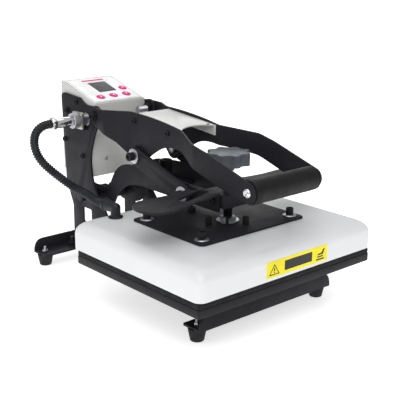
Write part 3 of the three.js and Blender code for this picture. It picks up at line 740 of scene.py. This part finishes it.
def make_bolts():
    for end, s, out, into in (("left", -1, "-x", "+x"), ("right", 1, "+x", "-x")):
        grip_and_link_bolts(end, s, out)
        pivot_bolt(end, s, out, into)
        moving_screws(end, s, out)
        frame_screws(end, s, out)
        plate_and_rear_screws(end, s)
    for i, (x, y) in enumerate(((-30, 134), (9, 100), (20, 152))):
        socket_head(f"levelling_post_{i}", (x, y, PLATE_TOP), "+z", 4.6, 11, BLACK, "platen")
    socket_head("plate_bolt", (-10, 193, PLATE_TOP), "+z", 6.2, 7, BLACK, "platen")
    lathe("plate_stud", ribbed(2.2, 0.35, 0, 13, 0.8), (-15, 112, PLATE_TOP), "+z", BLACK, "platen", 16, 20)
    pan_head("panel_screw", (-22, 387.9, 88), "-y", 3.2, 1.8, "zinc", "frame")
    pan_head("cover_top_screw", (26, 199, 165.95), "+z", 2.4, 0.9, BLACK, "handle")


make_spindle()
make_coupling()
make_damper()
make_springs()
make_bolts()


# ---------------------------------------------------------------- control panel, label and inlet

PANEL_RISE = 26
PANEL_RUN = 90
SLOPE = math.atan2(PANEL_RISE, PANEL_RUN)
PANEL = Matrix(((1, 0, 0), (0, math.cos(SLOPE), -math.sin(SLOPE)), (0, math.sin(SLOPE), math.cos(SLOPE))))
PANEL_AT = (0, 377, 179)
PRINT_GAP = 0.01


def prisms(name, shapes, low, high, at, turn, look, body, width=0.0):
    """Flat pieces between two heights of a turned plane. Each shape is a list of (u, v) in millimetres."""
    verts, faces = [], []
    for shape in shapes:
        first, n = len(verts), len(shape)
        for h in (low, high):
            verts += [place(*at) + turn @ Vector((u, v, h)) / 1000 for u, v in shape]
        faces.append(tuple(first + i for i in reversed(range(n))))
        faces.append(tuple(first + n + i for i in range(n)))
        for i in range(n):
            a, b = first + i, first + (i + 1) % n
            faces.append((a, b, b + n, a + n))
    return build(name, verts, faces, look, body, 30, width)


def bar(u0, v0, u1, v1, cut=0.0):
    """A rectangle, with its corners cut if wanted."""
    c = cut
    if not c:
        return [(u0, v0), (u1, v0), (u1, v1), (u0, v1)]
    front = [(u0 + c, v0), (u1 - c, v0), (u1, v0 + c), (u1, v1 - c)]
    return front + [(u1 - c, v1), (u0 + c, v1), (u0, v1 - c), (u0, v0 + c)]


def extent(node):
    """The lowest and highest (u, v, w) of a CAD node on the panel's plane, in millimetres."""
    source, back = NODES[node], PANEL.transposed()
    points = [back @ (source.matrix_world @ v.co - place(*PANEL_AT)) * 1000 for v in source.data.vertices]
    return [min(p[i] for p in points) for i in range(3)], [max(p[i] for p in points) for i in range(3)]


def digit(shape, u, v, w, h):
    """The lit bars of one figure of a seven-bar display."""
    t, m = 0.5, v + h / 2
    bars = {
        "a": (u + t, v + h - t, u + w - t, v + h + t),
        "g": (u + t, m - t, u + w - t, m + t),
        "d": (u + t, v - t, u + w - t, v + t),
        "f": (u - t, m + t, u + t, v + h - t),
        "b": (u + w - t, m + t, u + w + t, v + h - t),
        "e": (u - t, v + t, u + t, m - t),
        "c": (u + w - t, v + t, u + w + t, m - t),
    }
    return [bar(*bars[s], 0.25) for s in shape]


def printed(name, shapes, top, thick, look, body):
    """Flat print that stands just off a face of the panel."""
    prisms(name, shapes, top + PRINT_GAP, top + thick, PANEL_AT, PANEL, look, body)


def make_border():
    """A thin line round the overlay, and a plain bar over the display."""
    low, high = extent("panel_overlay")
    inset, t = 2.4, 0.45
    u0, v0, u1, v1 = low[0] + inset, low[1] + inset, high[0] - inset, high[1] - inset
    lines = [
        bar(u0, v0, u1, v0 + t), bar(u0, v1 - t, u1, v1),
        bar(u0, v0 + t, u0 + t, v1 - t), bar(u1 - t, v0 + t, u1, v1 - t),
    ]
    printed("panel_border", lines, high[2], 0.07, INK, "frame")
    v = (451.5 - PANEL_AT[1]) / math.cos(SLOPE)
    printed("panel_stripe", [bar(-20, v, 22, v + 4.6, 1.2)], high[2], 0.1, "button", "frame")


def make_figures():
    """Two rows of lit figures on the display."""
    low, high = extent("display_window")
    rows = ((0.56, ("bc", "abcdefg", "abcdef"), 10.5, 5.6), (0.14, ("abcdef", "abcdg", "abcdef"), 8.5, 4.8))
    figures = []
    for row, shapes, h, w in rows:
        v = low[1] + (high[1] - low[1]) * row
        for i, shape in enumerate(shapes):
            figures += digit(shape, low[0] + 6.5 + i * (w + 3.2), v, w, h)
    printed("display_figures", figures, high[2], 0.06, SEGMENT, "frame")


def make_marks():
    """A generic sign on each button: arrows to the left, up and down, and a plus."""
    marks = (
        [[(-2.6, 0), (1.4, -2.6), (1.4, 2.6)]],
        [[(-2.6, -1.4), (2.6, -1.4), (0, 2.4)]],
        [[(-2.6, 1.4), (0, -2.4), (2.6, 1.4)]],
        [bar(-2.8, -0.6, 2.8, 0.6, 0.2), bar(-0.6, 0.65, 0.6, 2.8, 0.2), bar(-0.6, -2.8, 0.6, -0.65, 0.2)],
    )
    size = 0.75
    for i, shapes in enumerate(marks):
        low, high = extent(f"panel_button_{i + 1}")
        u, v = (low[0] + high[0]) / 2, (low[1] + high[1]) / 2
        moved = [[(u + size * a, v + size * b) for a, b in shape] for shape in shapes]
        printed(f"button_mark_{i + 1}", moved, high[2], 0.1, PRINT, f"button_{i + 1}")


COVER_EDGE = 16
COVER_EDGE_FROM = 24


def cover_front(z):
    """How far back the cover's front face lies at a height, in millimetres."""
    if z < COVER_EDGE_FROM:
        return 0.0
    return COVER_EDGE - math.sqrt(COVER_EDGE ** 2 - (z - COVER_EDGE_FROM) ** 2)


def on_cover(name, x0, x1, z0, z1, out, look):
    """A thin printed patch that follows the cover's front face."""
    steps = 8
    verts, faces = [], []
    for lift in (0.03, out):
        for i in range(steps + 1):
            z = z0 + (z1 - z0) * i / steps
            verts += [place(x, cover_front(z) - lift, z) for x in (x0, x1)]
    n = 2 * (steps + 1)
    for i in range(steps):
        a = 2 * i
        faces += [(a, a + 2, a + 3, a + 1), (n + a, n + a + 1, n + a + 3, n + a + 2)]
        faces += [(a, n + a, n + a + 2, a + 2), (a + 1, a + 3, n + a + 3, n + a + 1)]
    faces += [(0, 1, n + 1, n), (n - 2, 2 * n - 2, 2 * n - 1, n - 1)]
    build(name, verts, faces, look, "platen", 30)


def make_label():
    """A plain warning patch: a yellow field, a dark block, a triangle outline and a generic sign."""
    on_cover("label_field", -50, 66.5, 4.8, 26.8, 0.2, YELLOW)
    on_cover("label_block", -17, 36, 9.4, 22.8, 0.26, INK)
    sides = [(-45.6, 8.0), (-26.4, 8.0), (-36, 22.8)]
    inner = [(-43.4, 9.3), (-28.6, 9.3), (-36, 20.4)]
    strips = [[sides[i], sides[(i + 1) % 3], inner[(i + 1) % 3], inner[i]] for i in range(3)]
    strips += [bar(-37, 12.6, -35, 17.6, 0.4), bar(-37, 10.4, -35, 11.8, 0.4)]
    sign = [(47, 14.8), (58, 14.8), (61, 22.6), (58.6, 22.8), (54.5, 17.4), (47, 16.6)]
    strips += [bar(44, 7.6, 60, 9.6, 0.5), bar(46, 11.4, 58, 13.2, 0.5), sign]
    prisms("label_signs", strips, 0.22, 0.3, (0, 0, 0), AXES["-y"], INK, "platen")


def make_inlet():
    """Three blades inside the power inlet."""
    blades = [bar(12.4, 94, 13.8, 99), bar(17.3, 97, 18.7, 102), bar(22.2, 94, 23.6, 99)]
    prisms("inlet_blades", blades, -464, -455.2, (0, 0, 0), AXES["-y"], BRASS, "frame", 0.3)


make_border()
make_figures()
make_marks()
make_label()
make_inlet()


# ---------------------------------------------------------------- stage

FLOOR_HALF = 8
FLOOR_DROP = 0.0005
LAMPS = (
    ("key", (-0.9, -1.1, 1.7), (0, 0, 0.1), 1.2, 14),
    ("fill", (-1.6, 0.5, 0.9), (0, 0, 0.12), 1.0, 3),
    ("rim", (1.0, 1.3, 1.2), (0, 0, 0.15), 1.0, 6),
    ("top", (0.1, 0.0, 2.0), (0, 0, 0), 1.4, 8),
)


def make_stage():
    """A pale floor, a white world and four soft lamps: (name, place, target, size in metres, watts)."""
    half = FLOOR_HALF
    mesh = bpy.data.meshes.new("floor")
    corners = [(-half, -half, 0), (half, -half, 0), (half, half, 0), (-half, half, 0)]
    mesh.from_pydata(corners, [], [(0, 1, 2, 3)])
    floor = bpy.data.objects.new("floor", mesh)
    floor.location.z = -FLOOR_DROP
    bpy.context.scene.collection.objects.link(floor)
    n = Nodes("floor_paper")
    n.colour(n.ramp(n.noise(3, 2), [(0.3, (0.90, 0.90, 0.90)), (0.7, (0.92, 0.92, 0.92))]))
    n.set(Roughness=0.9, Specular_IOR_Level=0.1, Emission_Color=(1.0, 1.0, 1.0), Emission_Strength=0.62)
    floor.data.materials.append(n.material)
    world = bpy.data.worlds.new("studio")
    bpy.context.scene.world = world
    world.use_nodes = True
    sky = world.node_tree.nodes["Background"]
    sky.inputs["Color"].default_value = (1, 1, 1, 1)
    sky.inputs["Strength"].default_value = 0.52
    for lamp in LAMPS:
        area(*lamp)
    scene = bpy.context.scene
    scene.view_settings.view_transform = "Standard"
    scene.view_settings.look = "None"


def area(name, at, target, size, watts):
    data = bpy.data.lights.new(name, "AREA")
    data.shape, data.size, data.energy = "SQUARE", size, watts
    lamp = bpy.data.objects.new(name, data)
    lamp.location = at
    lamp.rotation_mode = "QUATERNION"
    lamp.rotation_quaternion = (Vector(target) - Vector(at)).to_track_quat("-Z", "Y")
    bpy.context.scene.collection.objects.link(lamp)


make_stage()
